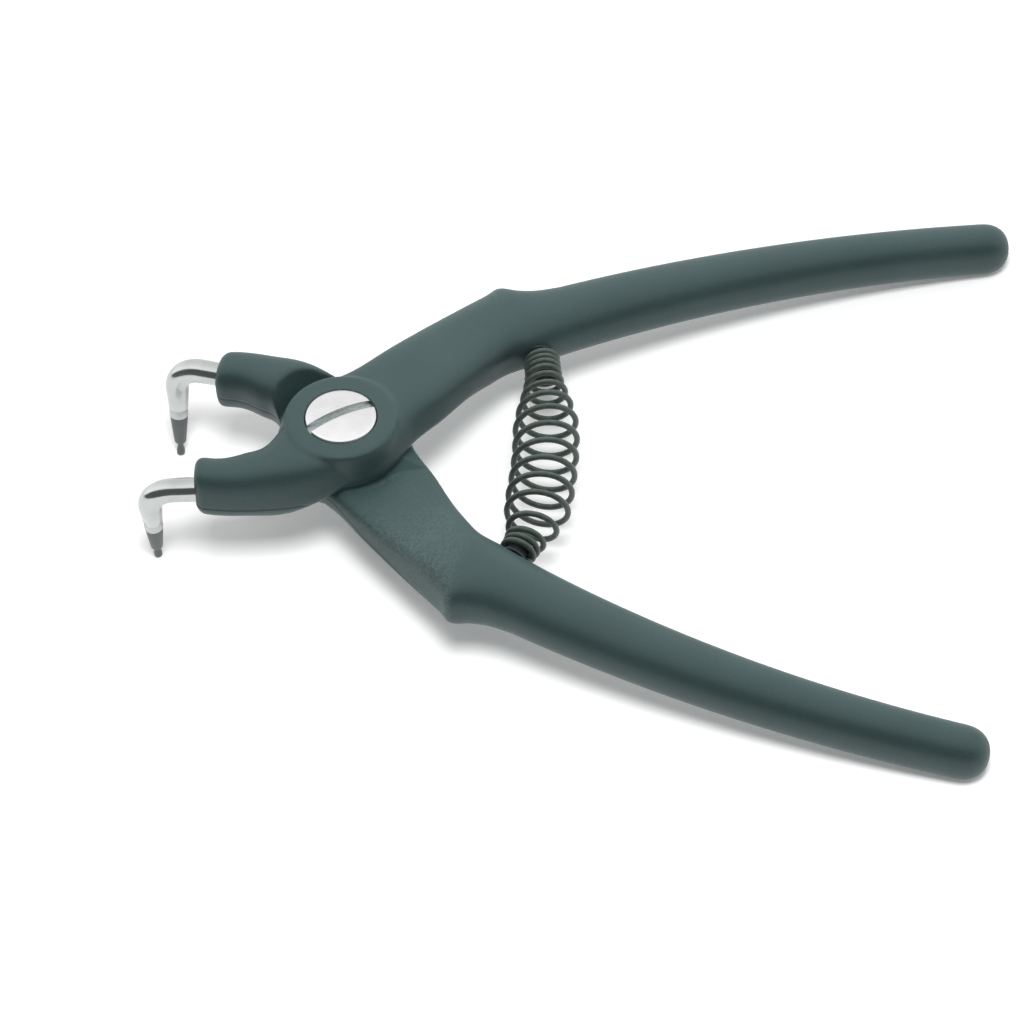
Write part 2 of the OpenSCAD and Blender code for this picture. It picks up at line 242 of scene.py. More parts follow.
print("grip ends at", [round(v, 1) for v in grip_mid(GRIP_LEN)], "in plan")

# %% [markdown]
# ## One section
# A key is made for the heel and for the neck, and one rule turns any key into a ring of points.
# A superellipse is used, because one exponent takes it from an oval grip to a flat neck with
# rounded corners. A forging has draft, so its flanks lean in on both sides of the parting line.

# %% Keys and rings
def heel_key(s, out, inset=0, square=GRIP_SQUARE):
    m, n = grip_mid(s), side(grip_dir(s))
    half, rise = grip_half(s) - inset, grip_rise(s) - inset
    return [m + n * (half + out), m - n * half, -rise, rise, square]


def neck_key(f, w, b, low, high, square):
    p = NECK_OUT * side(NECK_TURN) + (NECK_FROM + f * NECK_RUN) * along(NECK_TURN)
    return [p, p - NECK_W * (w * side(NECK_TURN) + b * along(NECK_TURN)), low, high, square]


def ring_of(key, parting=0, draft=0, lean=0):
    """The rule of one section: a rounded rectangle between the key's two points.

    The outer flank leans in above and below the parting height by the draft. The inner
    flank has a tenth of draft at most, and can lean in more above the lap plane."""
    p, q, low, high, square = key
    mid, half = (p + q) / 2, (p - q) / 2

    def ring(turn):
        z = (low + high) / 2 + (high - low) / 2 * power(math.sin(turn), 2 / square)
        across = power(math.cos(turn), 2 / square)
        outer = draft * abs(z - parting)
        inner = min(draft, 0.1) * abs(z - max(min(parting, 1.6), -1.6)) + lean * max(z - LAP_Z, 0)
        c = mid + half * across - half.normalized() * across * (outer if across > 0 else inner)
        return Vector((c.x, c.y, z))

    return ring


print("heel is", round(2 * grip_half(0), 1), "mm wide without its hump")

# %% [markdown]
# ## Key sections of a lever
# The keys run from the jaw's end over the disc and down the neck to the heel. Four neighbours
# at a time give a smooth curve, so a few keys are enough for the whole forging. The jaw's end
# is stepped in on a quarter circle. Three more rows say, for each key, how high the parting
# line lies, how strong the draft is and how far the inner flank leans beside the disc.

# %% Keys along a lever
def plan(x, y):
    return Vector((x, y))


def jaw_key(x_in, x_out, w_in, w_out, low, high, square):
    """A section of the jaw. Widths and heights are shares of the jaw's own."""
    return [plan(x_in, -JAW_OFF + JAW_W * w_in), plan(x_out, -JAW_OFF - JAW_W * w_out),
            JAW_T / 2 * low, JAW_T / 2 * high, square]


def disc_key(p, q, above):
    """A section across the disc. Its points are given as shares of the disc's radius."""
    return [plan(*p) * DISC_R, plan(*q) * DISC_R, LAP_Z, NECK_Z + above, 5]


JAW_ANGLE = 8
skew = JAW_W / 2 * math.sin(math.radians(JAW_ANGLE)) * 0.75
KEYS = [
    jaw_key(-JAW_REACH - skew, -JAW_REACH + skew, 0.6, 0.5, -1, 1.18, 3),
    jaw_key(-JAW_REACH * 0.827, -JAW_REACH * 0.827, 0.62, 0.52, -1.05, 1.14, 2.9),
    jaw_key(-DISC_R * 1.38, -DISC_R * 1.28, 0.82, 0.48, -1.05, 1.17, 3),
    jaw_key(-DISC_R * 1.07, -DISC_R * 0.58, 1.12, 0.29, -1.03, 1.29, 3.3),
    disc_key((-0.66, 0.46), (0.25, -1.03), 0.15),
    disc_key((-0.34, 0.83), (0.79, -0.7), 0.1),
    neck_key(0, 1.24, 0.03, -0.15, NECK_Z, 5),
    neck_key(0.26, 1.155, 0.09, -0.65, NECK_Z, 5),
    neck_key(0.53, 1.045, 0.16, -GRIP_T * 0.17, mix(NECK_Z, GRIP_T / 2, 0.4), 4.5),
    neck_key(0.79, 0.968, 0.27, -GRIP_T * 0.38, mix(NECK_Z, GRIP_T / 2, 0.75), 4),
    neck_key(1, 0.945, 0.376, -GRIP_T * 0.492, mix(NECK_Z, GRIP_T / 2, 0.98), 3.4),
    heel_key(SLEEVE_AT * 0.02, HEEL_HUMP, 0, 2.7),
    heel_key(SLEEVE_AT * 0.29, HEEL_HUMP * 0.52, 0, 2.45),
    heel_key(SLEEVE_AT * 0.6, HEEL_HUMP * 0.16, 0, 2.3),
    heel_key(SLEEVE_AT, 0),
]
print(len(KEYS), "keys along a lever")

# %% Smooth sections between the keys
def between(i, t):
    """A smooth curve through four neighbouring keys."""
    a, b, c, d = (KEYS[min(max(i + k, 0), len(KEYS) - 1)] for k in (-1, 0, 1, 2))
    return [
        q + 0.5 * t * (r - p + t * (2 * p - 5 * q + 4 * r - s + t * (3 * (q - r) + s - p)))
        for p, q, r, s in zip(a, b, c, d)
    ]


def jaw_end(angle):
    """The jaw's end, stepped in on a quarter circle."""
    p, q, low, high, square = KEYS[0]
    step = JAW_ROUND * (1 - math.sin(math.radians(angle)))
    mid, share = (p + q) / 2, 1 - step / (JAW_W / 2)
    back_by = plan(JAW_ROUND * (1 - math.cos(math.radians(angle))), 0)
    return [mid.lerp(p, share) + back_by, mid.lerp(q, share) + back_by,
            low + step, high - step, square]


FINE, END_ANGLES = 14, (0, 12, 25, 38, 50, 62)
TUCKED = ((0, 0), (0.7, 0), (1.1, 0.04), (1.8, 0.25), (2.8, 0.9))
PARTINGS = [-1.6, -1.6, -1.6, -1.6, 0, 1.2, 2.4, 3.4, 3.6, 3.2, 2.4, 1, 0, 0, 0]
DRAFTS = [0.1, 0.1, 0.1, 0.1, 0.1, 0.1, 0.12, 0.16, 0.18, 0.14, 0.07, 0, 0, 0, 0]
LEANS = [0, 0, 0.02, 0.14, 0.42, 0.42, 0.4, 0.24, 0.1, 0, 0, 0, 0, 0, 0]
lever_rings = [ring_of(jaw_end(a), PARTINGS[0], DRAFTS[0]) for a in END_ANGLES]
for i in range(len(KEYS) - 1):
    for j in range(6 if i == 0 else 0, FINE):
        flank = [mix(row[i], row[i + 1], j / FINE) for row in (PARTINGS, DRAFTS, LEANS)]
        lever_rings.append(ring_of(between(i, j / FINE), *flank))
for s, inset in TUCKED:
    lever_rings.append(ring_of(heel_key(SLEEVE_AT + s, 0, inset)))
print(len(lever_rings), "sections along a lever")

# %% [markdown]
# ## The forging
# A forged and coated lever has no sharp edge anywhere: the coat runs over every corner. The
# disc is joined to the skin, the recess for the other disc is cut away, and then a voxel
# remesh with some smoothing melts the corners into each other. Beveling every edge by hand
# would give crisper lines than the real piece has. Only the low step where the neck leaves
# the lap is crisp on the real lever, so it is cut after the melting.

# %% Join the disc and cut the recess
forging = keep(skin(lever_rings, 72), "forging")
disc = keep(lathe([
    (0, LAP_Z), (DISC_R, LAP_Z), (mix(DISC_R, BOSS_R, 0.75), LAP_T - 1),
    (mix(DISC_R, BOSS_R, 0.92), LAP_T - 0.35), (BOSS_R, LAP_T), (0, LAP_T),
]), "disc")
cut(forging, disc, "UNION")

bm = bmesh.new()
bmesh.ops.create_cone(bm, cap_ends=True, segments=128, depth=JAW_T,
                      radius1=RECESS_R + RECESS_SLOPE * JAW_T / LAP_T, radius2=RECESS_R)
bmesh.ops.translate(bm, vec=(0, 0, LAP_Z - JAW_T / 2), verts=bm.verts)
cut(forging, keep(bm, "recess"))
print("raw forging has", len(forging.data.polygons), "faces")

# %% Melt the corners
VOXEL, EASE, EASE_TIMES = 0.24, 0.5, 18
melt = forging.modifiers.new("melt", "REMESH")
melt.mode, melt.voxel_size = "VOXEL", VOXEL * MM
ease = forging.modifiers.new("ease", "SMOOTH")
ease.factor, ease.iterations = EASE, EASE_TIMES
settle(forging)
print("melted forging has", len(forging.data.polygons), "faces")

# %% Cut the step by the lap
STEP_BOX, STEP_OFF, STEP_TOP = (14, 8, 2), (4, -4), LAP_Z - 0.85
STEP_TURN, STEP_AT = -16, (7.85, 6.2, 0)
bm = bmesh.new()
bmesh.ops.create_cube(bm, size=1)
bmesh.ops.scale(bm, vec=STEP_BOX, verts=bm.verts)
bmesh.ops.translate(bm, vec=(*STEP_OFF, STEP_TOP), verts=bm.verts)
bmesh.ops.rotate(bm, cent=(0, 0, 0), verts=bm.verts,
                 matrix=Matrix.Rotation(math.radians(STEP_TURN), 3, "Z"))
bmesh.ops.translate(bm, vec=STEP_AT, verts=bm.verts)
cut(forging, keep(bm, "step by the lap"))
print("forging has", len(forging.data.polygons), "faces")

# %% [markdown]
# ## Two levers from one forging
# The upper lever takes the screw's head in a round sink, the lower one its thread. Each lever
# also has a tang inside its grip, a hole for its tip and one for its spring peg. These are
# bored after the melting, because a drilled edge is crisp on the real tool as well.

# %% Places of the holes
TIP_OFF, TIP_SPLAY, TIP_LEAN = 12.1, 8, 7.5
ROD_R, ROD_OUT, ROD_IN, BEND_R = 1.9, 3.2, 7.6, 4
SEAT_UP, SEAT_LOW, PEG_R, PEG_IN = 1.6, 2.1, 1.5, 4.5
UP_TURN, LOW_TURN = 10.7, 20.61
HEAD_R, SHANK_R, THREAD_R = 5.5, 3.2, 2.5
HEAD_H, HEAD_RISE, PRESS, RUN = 1.8, 0.15, 0.02, 0.05


def seat_of(at):
    return grip_mid(at) - side(grip_dir(at)) * grip_half(at)


def at_seat(at, turn):
    return (
        Matrix.Translation(seat_of(at).to_3d())
        @ Matrix.Rotation(math.radians(turn), 4, "Z")
        @ Matrix.Rotation(math.radians(90), 4, "X")
    )


splay = Matrix.Rotation(math.radians(TIP_SPLAY), 4, "Z")
at_jaw = Matrix.Translation((-JAW_REACH, -TIP_OFF, 0)) @ splay
lift = Matrix.Translation((0, 0, LAP_T))
turned = Matrix.Rotation(math.pi, 4, "X")
mirrored = Matrix.Scale(-1, 4, (0, 1, 0))
print("spring seats at", [[round(v, 1) for v in seat_of(at)] for at in (SEAT_UP, SEAT_LOW)])

# %% Tools for holes and tangs
def rod_tool(radius, low, high, matrix, name):
    bm = bmesh.new()
    bmesh.ops.create_cone(bm, cap_ends=True, segments=96, depth=high - low,
                          radius1=radius, radius2=radius)
    bmesh.ops.translate(bm, vec=(0, 0, (low + high) / 2), verts=bm.verts)
    bmesh.ops.transform(bm, matrix=matrix, verts=bm.verts)
    return keep(bm, name)


def tang(start, end, grow, name):
    """The bar inside the grip, as a closed piece of its own."""
    keys = []
    for i in range(25):
        s = mix(start, end, i / 24)
        m, n, h = grip_mid(s), side(grip_dir(s)), TANG_W / 2 + grow
        keys.append([m + n * h, m - n * h, -h, h, 8])
    return skin([ring_of(k) for k in keys], 32)


print("tang is", TANG_W, "mm square")

# %% Bore the levers
def lever(name, matrix, bores, seat):
    piece = bpy.data.objects.new(name, forging.data.copy())
    scene.collection.objects.link(piece)
    cut(piece, rod_tool(PEG_R + PRESS, -PEG_IN - 0.1, 3, at_seat(*seat), "peg hole"))
    for radius, low, high in bores:
        cut(piece, rod_tool(radius, low, high, Matrix.Identity(4), "bore"))
    bm = tang(SLEEVE_AT - 1, GRIP_LEN - TANG_SHORT, 0, name)
    bmesh.ops.scale(bm, vec=(MM, MM, MM), verts=bm.verts)
    bm.from_mesh(piece.data)
    bmesh.ops.scale(bm, vec=(1 / MM, 1 / MM, 1 / MM), verts=bm.verts)
    bmesh.ops.transform(bm, matrix=matrix, verts=bm.verts)
    bpy.data.objects.remove(piece)
    return keep(bm, name)


lie_down = Matrix.Rotation(math.radians(90), 4, "Y")
cut(forging, rod_tool(ROD_R + PRESS, -2, ROD_IN + 0.1, at_jaw @ lie_down, "rod hole"))
sink_z = LAP_T + HEAD_RISE - HEAD_H - RUN
upper_bores = [(SHANK_R + RUN, -1, 7), (HEAD_R + 0.2, sink_z, 9)]
lower_bores = [(THREAD_R + PRESS, -1, 7)]
upper_lever = lever("upper_lever_coated", lift, upper_bores, (SEAT_UP, UP_TURN))
lower_lever = lever("lower_lever_coated", lift @ turned, lower_bores, (SEAT_LOW, LOW_TURN))
bpy.data.objects.remove(forging)
for piece, node, body in (
    (upper_lever, "upper_lever", "upper_half"),
    (lower_lever, "lower_lever", "lower_half"),
):
    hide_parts(node)
    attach(piece, body)
    print(piece.name, len(piece.data.polygons), "faces")

# %% [markdown]
# ## The grips
# The sleeves on the handles taper to a rounded end and look like one piece with the lever:
# the photograph shows no seam. So the front of each sleeve starts a little inside the lever
# and comes up to its surface, like a feathered lap joint, and no seam shows.

# %% Sections of a sleeve
CAP_SQUARE = 2.3


def grip_cap(s):
    e = (s - (GRIP_LEN - GRIP_ROUND)) / GRIP_ROUND
    return 1 if e <= 0 else (1 - min(e, 0.9995) ** CAP_SQUARE) ** (1 / CAP_SQUARE)


def sleeve_key(s, inset=0):
    m, n, k = grip_mid(s), side(grip_dir(s)), grip_cap(s)
    half, rise = (grip_half(s) - inset) * k, (grip_rise(s) - inset) * k
    return [m + n * half, m - n * half, -rise, rise, GRIP_SQUARE]


STEPS_STRAIGHT, STEPS_ROUND, HAIR = 70, 20, 0.01
FEATHER = ((-1.5, 0.6), (-0.8, 0.25), (-0.3, 0.05))
straight = GRIP_LEN - GRIP_ROUND
sleeve_keys = [sleeve_key(SLEEVE_AT + s, inset) for s, inset in FEATHER]
for i in range(STEPS_STRAIGHT + 1):
    sleeve_keys.append(sleeve_key(mix(SLEEVE_AT, straight, i / STEPS_STRAIGHT), HAIR))
for i in range(1, STEPS_ROUND + 1):
    along_cap = GRIP_ROUND * math.sin(math.radians(90 / STEPS_ROUND * i))
    sleeve_keys.append(sleeve_key(straight + along_cap, HAIR))
print(len(sleeve_keys), "sections along a sleeve")

# %% Build the sleeves
def sleeve(name, matrix, node, body):
    piece = keep(skin([ring_of(k) for k in sleeve_keys], 72), name)
    bore = tang(SLEEVE_AT - 4, GRIP_LEN - TANG_SHORT + 0.4, SLEEVE_GAP, "tang bore")
    cut(piece, keep(bore, "tang bore"))
    piece.data.transform(Matrix.Scale(MM, 4) @ matrix @ Matrix.Scale(1 / MM, 4))
    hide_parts(node)
    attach(piece, body)
    print(name, len(piece.data.polygons), "faces")
    return piece


upper_grip = sleeve("upper_grip_sleeve", lift, "upper_grip", "upper_half")
lower_grip = sleeve("lower_grip_sleeve", lift @ turned, "lower_grip", "lower_half")

# %% [markdown]
# ## The tips
# Each tip is one bright rod, bent square, whose leg tapers to a ground band. Below the band
# it is a dark hardened cone with a thin root and a small flared pin that enters the hole of
# the ring. A ring of points is extruded along the rod, spun round the bend and extruded down
# the leg, so that the rod and its bend are one smooth surface.

# %% Profile of a leg
LEG_H, BAND_R, BAND_H, CONE_H, CONE_R = 4.2, 1.5, 1.6, 5.7, 0.95
ROOT_R, ROOT_H, FLARE_H, PIN_R, PIN_H = 0.46, 0.9, 0.8, 0.65, 0.8
cone_top = LEG_H + BAND_H
cone_foot = cone_top + CONE_H
pin_end = cone_foot + ROOT_H + FLARE_H + PIN_H
LEG = [
    (0.9, ROD_R - 0.08), (LEG_H - 0.06, BAND_R + 0.04), (LEG_H, BAND_R + 0.01),
    (LEG_H + 0.05, BAND_R - 0.03), (LEG_H + 0.12, BAND_R), (cone_top - 0.05, BAND_R),
    (cone_top, BAND_R - 0.01), (cone_top + 0.03, BAND_R - 0.06), (cone_top + 0.1, BAND_R - 0.05),
    (cone_foot - 0.35, CONE_R + 0.03), (cone_foot - 0.12, CONE_R - 0.02),
    (cone_foot - 0.02, CONE_R - 0.12), (cone_foot, CONE_R - 0.22),
    (cone_foot + 0.02, ROOT_R + 0.12), (cone_foot + 0.15, ROOT_R), (cone_foot + ROOT_H, ROOT_R),
    (pin_end - PIN_H, PIN_R), (pin_end - 0.08, PIN_R), (pin_end - 0.02, PIN_R - 0.03),
    (pin_end, PIN_R - 0.1),
]
print("leg of a tip is", round(pin_end, 1), "mm long below the bend")

# %% Rings along a tip
def tip_ring(centre, tilt, radius):
    """A round section whose plane turns from upright to level as the tilt goes to 90."""
    axis_u = Vector((0, 1, 0))
    axis_v = Vector((-math.sin(math.radians(tilt)), 0, math.cos(math.radians(tilt))))
    return lambda turn: centre + radius * (axis_u * math.cos(turn) + axis_v * math.sin(turn))


ROD = ((ROD_IN, ROD_R - 0.3), (ROD_IN - 0.3, ROD_R), (2, ROD_R), (0, ROD_R), (-ROD_OUT, ROD_R))
BEND_STEPS = 24
tip_rings = [tip_ring(Vector((x, 0, 0)), 0, r) for x, r in ROD]
for i in range(1, BEND_STEPS + 1):
    angle = 90 * i / BEND_STEPS
    a = math.radians(angle)
    centre = Vector((-ROD_OUT - BEND_R * math.sin(a), 0, -BEND_R + BEND_R * math.cos(a)))
    tip_rings.append(tip_ring(centre, angle, ROD_R))
tip_rings += [tip_ring(Vector((-ROD_OUT - BEND_R, 0, -BEND_R - h)), 90, r) for h, r in LEG]
print(len(tip_rings), "rings along a tip")

# %% Build the tips
def tip(name, matrix, node, body):
    bm = skin(tip_rings, 64)
    for face in bm.faces:
        h = -BEND_R - face.calc_center_median().z
        near_leg = face.calc_center_median().x < -ROD_OUT - BEND_R + 2
        if near_leg:
            face.material_index = 2 if h > cone_top else 1 if h > LEG_H else 0
    lean = Matrix.Rotation(math.radians(TIP_LEAN), 4, "X")
    bmesh.ops.transform(bm, matrix=matrix @ at_jaw @ lean, verts=bm.verts)
    bmesh.ops.recalc_face_normals(bm, faces=bm.faces)
    piece = keep(bm, name)
    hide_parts(node)
    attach(piece, body)
    print(name, len(piece.data.polygons), "faces")
    return piece


upper_tip = tip("upper_tip_bent", lift, "upper_tip", "upper_half")
lower_tip = tip("lower_tip_bent", lift @ mirrored, "lower_tip", "lower_half")

# %% [markdown]
# ## The pivot screw
# A turned screw with a low domed head and a screwdriver slot. The profile is spun, the slot
# is cut with a box, and a narrow bevel on the cut edges catches the light as a deburred edge
# does. A plain cylinder with a groove would miss the curve that the dome gives the slot.

# %% Turn the screw
DOME_H, DOME_STEPS, END_IN = 0.9, 15, 0.4
SLOT_W, SLOT_D, SLOT_TURN, DEBURR = 1.5, 0.7, 34, 0.09
ball = (HEAD_R ** 2 + DOME_H ** 2) / (2 * DOME_H)
rim_z = LAP_T + HEAD_RISE
profile = [
    (0, -LAP_T + END_IN), (THREAD_R - 0.3, -LAP_T + END_IN), (THREAD_R, -LAP_T + END_IN + 0.3),
    (THREAD_R, -RUN), (SHANK_R, -RUN), (SHANK_R, rim_z - HEAD_H), (HEAD_R - 0.1, rim_z - HEAD_H),
    (HEAD_R, rim_z - HEAD_H + 0.1), (HEAD_R, rim_z - 0.16), (HEAD_R - 0.05, rim_z - 0.05),
]
for i in range(DOME_STEPS, -1, -1):
    r = (HEAD_R - 0.16) * i / DOME_STEPS
    profile.append((r, rim_z + DOME_H - ball + math.sqrt(ball ** 2 - r ** 2)))
screw = keep(lathe(profile, 128), "pivot_screw_turned")
print("dome is part of a ball of", round(ball, 1), "mm radius")

# %% Cut the slot
bm = bmesh.new()
bmesh.ops.create_cube(bm, size=1)
bmesh.ops.scale(bm, vec=(3 * HEAD_R, SLOT_W, 4), verts=bm.verts)
bmesh.ops.translate(bm, vec=(0, 0, rim_z - SLOT_D + 2), verts=bm.verts)
bmesh.ops.rotate(bm, cent=(0, 0, 0), verts=bm.verts,
                 matrix=Matrix.Rotation(math.radians(SLOT_TURN), 3, "Z"))
cut(screw, keep(bm, "slot"))
print("slot is", SLOT_W, "mm wide")

# %% Deburr the screw
bm = bmesh.new()
bm.from_mesh(screw.data)
bmesh.ops.remove_doubles(bm, verts=bm.verts, dist=2e-6)
sharp = [e for e in bm.edges if len(e.link_faces) == 2 and e.calc_face_angle() > math.radians(40)
         and max(v.co.z for v in e.verts) > (rim_z - SLOT_D - 0.1) * MM]
bmesh.ops.bevel(bm, geom=sharp, offset=DEBURR * MM, offset_type="OFFSET", affect="EDGES",
                segments=2, profile=0.5, material=-1, clamp_overlap=True)
bmesh.ops.scale(bm, vec=(1 / MM, 1 / MM, 1 / MM), verts=bm.verts)
bmesh.ops.transform(bm, matrix=lift, verts=bm.verts)
bpy.data.objects.remove(screw)
screw = keep(bm, "pivot_screw_turned")
screw.data.set_sharp_from_angle(angle=math.radians(35))
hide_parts("pivot_screw")
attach(screw, "lower_half")
print(screw.name, len(screw.data.polygons), "faces")

# %% [markdown]
# ## The spring pegs
# A peg in each lever holds one end of the spring. It is a turned stub: a shank pressed into
# the lever, a low foot that the end coil sits on, and a stem with a rounded end inside the
# coil. One spun profile gives all of this.

# %% Build the pegs
PEG_OUT, STEM_R, FOOT_R = 3.4, 1.75, 2.3
PEG = [
    (0, -PEG_IN), (PEG_R, -PEG_IN), (PEG_R, -0.25), (FOOT_R, -0.2), (FOOT_R, 0.12),
    (FOOT_R - 0.1, 0.25), (STEM_R + 0.1, 0.4), (STEM_R, 0.6), (STEM_R, PEG_OUT - 0.5),
    (STEM_R - 0.15, PEG_OUT - 0.15), (STEM_R - 0.4, PEG_OUT), (0, PEG_OUT),
]


def peg(name, matrix, node, body):
    bm = lathe(PEG, 64)
    bmesh.ops.transform(bm, matrix=matrix, verts=bm.verts)
    bmesh.ops.recalc_face_normals(bm, faces=bm.faces)
    piece = keep(bm, name)
    piece.data.set_sharp_from_angle(angle=math.radians(40))
    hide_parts(node)
    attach(piece, body)
    print(name, len(piece.data.polygons), "faces")
    return piece


at_upper = lift @ at_seat(SEAT_UP, UP_TURN)
at_lower = lift @ turned @ at_seat(SEAT_LOW, LOW_TURN)
upper_peg = peg("upper_spring_peg_turned", at_upper, "upper_spring_peg", "upper_half")
lower_peg = peg("lower_spring_peg_turned", at_lower, "lower_spring_peg", "lower_half")

# %% [markdown]
# ## The opening spring
# A barrel spring: its end coils lie closed on the pegs and the middle ones are wide and open, and
# the whole spring bows away from the joint. A curve with a round bevel would do; here the wire is
# a skin whose rings follow the helix.

# %% Ends of the spring
WIRE_R, COIL_END_R, COIL_MID_R, COILS = 0.47, 2.45, 4.8, 17
SHUT_LOW, SHUT_UP, OPENS_LOW, OPENS_UP = 2.3, 2.4, 1.6, 4.4
BOW, BOW_AT, OFF_UP, OFF_LOW = 2.6, 0.45, 0.6, 0.3
WIDE_FROM, WIDENS, NARROW_AT, NARROWS = 0.02, 0.24, 0.95, 0.33
CLOSED_PITCH = 2.15


def axis_end(at, off):
    a = math.radians(grip_dir(at))
    return seat_of(at) + (WIRE_R + off) * Vector((math.sin(a), -math.cos(a)))


end_up = axis_end(SEAT_UP, OFF_UP).to_3d()
end_low = axis_end(SEAT_LOW, OFF_LOW).to_3d()
end_low.y *= -1
axis_len = (end_up - end_low).length
pitch = CLOSED_PITCH * WIRE_R
low_t, up_t = SHUT_LOW / COILS, SHUT_UP / COILS
low_ease, up_ease = OPENS_LOW / COILS, OPENS_UP / COILS
print("spring is", round(axis_len, 1), "mm long, closed coils have a pitch of", round(pitch, 2))

# %% Line of the wire
NEAR_V, NEAR_T, LIFT = 0.002, 0.0005, Vector((0, 0, LAP_T))


def ramp(x, ease):
    return 0 if x < 0 else x * x / (2 * ease) if x < ease else x - ease / 2


def swell(x):
    c = min(max(x, 0), 1)
    return c * c * (3 - 2 * c)


def coil_v(t):
    opened = (ramp(t - low_t, low_ease) - ramp(t - 1 + up_t + up_ease, up_ease)) / (
        1 - low_t - up_t - low_ease / 2 - up_ease / 2)
    return (COILS * t * pitch + (axis_len - COILS * pitch) * opened) / axis_len


def axis_at(v):
    bow = 1 - (1 - v / BOW_AT) ** 3 if v < BOW_AT else 1 - ((v - BOW_AT) / (1 - BOW_AT)) ** 1.6
    return end_low.lerp(end_up, v) + Vector((BOW * bow, 0, 0))


def wire_at(t):
    v = coil_v(t)
    d = axis_at(min(v + NEAR_V, 1)) - axis_at(max(v - NEAR_V, 0))
    e = Vector((d.y, -d.x, 0)).normalized()
    wide = min(swell((v - WIDE_FROM) / WIDENS), swell((NARROW_AT - v) / NARROWS))
    r = mix(COIL_END_R, COIL_MID_R, wide)
    a = math.tau * COILS * t
    return axis_at(v) + r * (e * math.cos(a) - Vector((0, 0, 1)) * math.sin(a))


def wire_ring(t, radius):
    c = wire_at(t)
    f = (wire_at(t + NEAR_T) - wire_at(t - NEAR_T)).normalized()
    r = (c - axis_at(coil_v(t))).normalized()
    s = f.cross(r).normalized()
    o = s.cross(f)
    c = c + LIFT
    return lambda turn: c + radius * (o * math.cos(turn) + s * math.sin(turn))


print("widest coil is", 2 * (COIL_MID_R + WIRE_R), "mm across")

# %% Wind the spring
PER_COIL, CUT_END, CUT_R = 40, 0.0006, WIRE_R * 0.75
steps = COILS * PER_COIL
wire_rings = [wire_ring(0, CUT_R)]
for i in range(steps + 1):
    wire_rings.append(wire_ring(mix(CUT_END, 1 - CUT_END, i / steps), WIRE_R))
wire_rings.append(wire_ring(1, CUT_R))
spring = keep(skin(wire_rings, 14), "opening_spring_wire")
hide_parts("opening_spring")
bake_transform(spring)
print(spring.name, len(spring.data.polygons), "faces")

# %% [markdown]
# ## Helpers for finishes
# Every finish is one shader whose colour, roughness and relief follow noise on Object
# coordinates. Painted pictures would need seams and unwrapping, while noise is the same from
# all sides and at all distances. The helpers add nodes to the material at hand.

# %% Nodes of a finish
def new_material(name):
    material = bpy.data.materials.new(name)
    material.use_nodes = True
    nodes, links = material.node_tree.nodes, material.node_tree.links
    shader = next(n for n in nodes if n.type == "BSDF_PRINCIPLED")
    coords = nodes.new("ShaderNodeTexCoord")
    return material, nodes, links, shader, coords


def noise(scale, detail=2.0, rough=0.5, stretch=None):
    node = nodes.new("ShaderNodeTexNoise")
    node.inputs["Scale"].default_value = scale
    node.inputs["Detail"].default_value = detail
    node.inputs["Roughness"].default_value = rough
    source = coords.outputs["Object"]
    if stretch:
        mapping = nodes.new("ShaderNodeMapping")
        mapping.inputs["Scale"].default_value = stretch
        links.new(source, mapping.inputs["Vector"])
        source = mapping.outputs["Vector"]
    links.new(source, node.inputs["Vector"])
    return node.outputs["Fac"]


def grey(v):
    return (v, v, v, 1)


def ramp_of(source, low, high, stops=(0.3, 0.7)):
    """A colour or a grey that runs from low to high with its source."""
    node = nodes.new("ShaderNodeValToRGB")
    first, last = node.color_ramp.elements
    first.position, last.position = stops
    first.color, last.color = low, high
    links.new(source, node.inputs["Fac"])
    return node.outputs["Color"]


print("noise and ramps ready")

# %% Nodes that colour, dull and emboss
def colour(source, low, high):
    links.new(ramp_of(source, (*low, 1), (*high, 1)), shader.inputs["Base Color"])


def roughness(source, low, high):
    links.new(ramp_of(source, grey(low), grey(high)), shader.inputs["Roughness"])


def bump(*heights):
    """A chain of bumps, each given as source, strength and height in millimetres."""
    last = None
    for source, strength, height in heights:
        node = nodes.new("ShaderNodeBump")
        node.inputs["Strength"].default_value = strength
        node.inputs["Distance"].default_value = height * MM
        links.new(source, node.inputs["Height"])
        if last:
            links.new(last, node.inputs["Normal"])
        last = node.outputs["Normal"]
    links.new(last, shader.inputs["Normal"])


def feed(socket, value):
    """Links a socket to another one, or sets it to a value."""
    if isinstance(value, bpy.types.NodeSocket):
        links.new(value, socket)
    else:
        socket.default_value = value


def mixed(factor, a, b, how="MIX"):
    """Colour a where the factor is 0 and colour b where it is 1."""
    node = nodes.new("ShaderNodeMix")
    node.data_type, node.blend_type = "RGBA", how
    for socket, value in zip((node.inputs[0], node.inputs[6], node.inputs[7]), (factor, a, b)):
        feed(socket, value)
    return node.outputs[2]


print("colour, roughness and bumps ready")

# %% [markdown]
# ## The coat
# Levers and grips share one satin coat, a dark slate with a touch of green. It has a fine
# grain, a very slight orange peel and a faint drift of tone. The noise runs on without a
# break from a lever to its grip, because every piece has the same origin.

# %% Tone and grain of the coat
coat, nodes, links, shader, coords = new_material("satin_slate_coat")
drift = noise(70, 3)
grain = noise(4200, 2, 0.6)
peel = noise(900, 2)
tone = ramp_of(drift, (0.032, 0.060, 0.060, 1), (0.038, 0.070, 0.070, 1))
speckled = mixed(1, tone, ramp_of(grain, grey(0.84), grey(1.12)), "MULTIPLY")
shader.inputs["Specular IOR Level"].default_value = 0.62
shader.inputs["Specular Tint"].default_value = (0.84, 1, 0.98, 1)
print("coat has", len(nodes), "nodes so far")
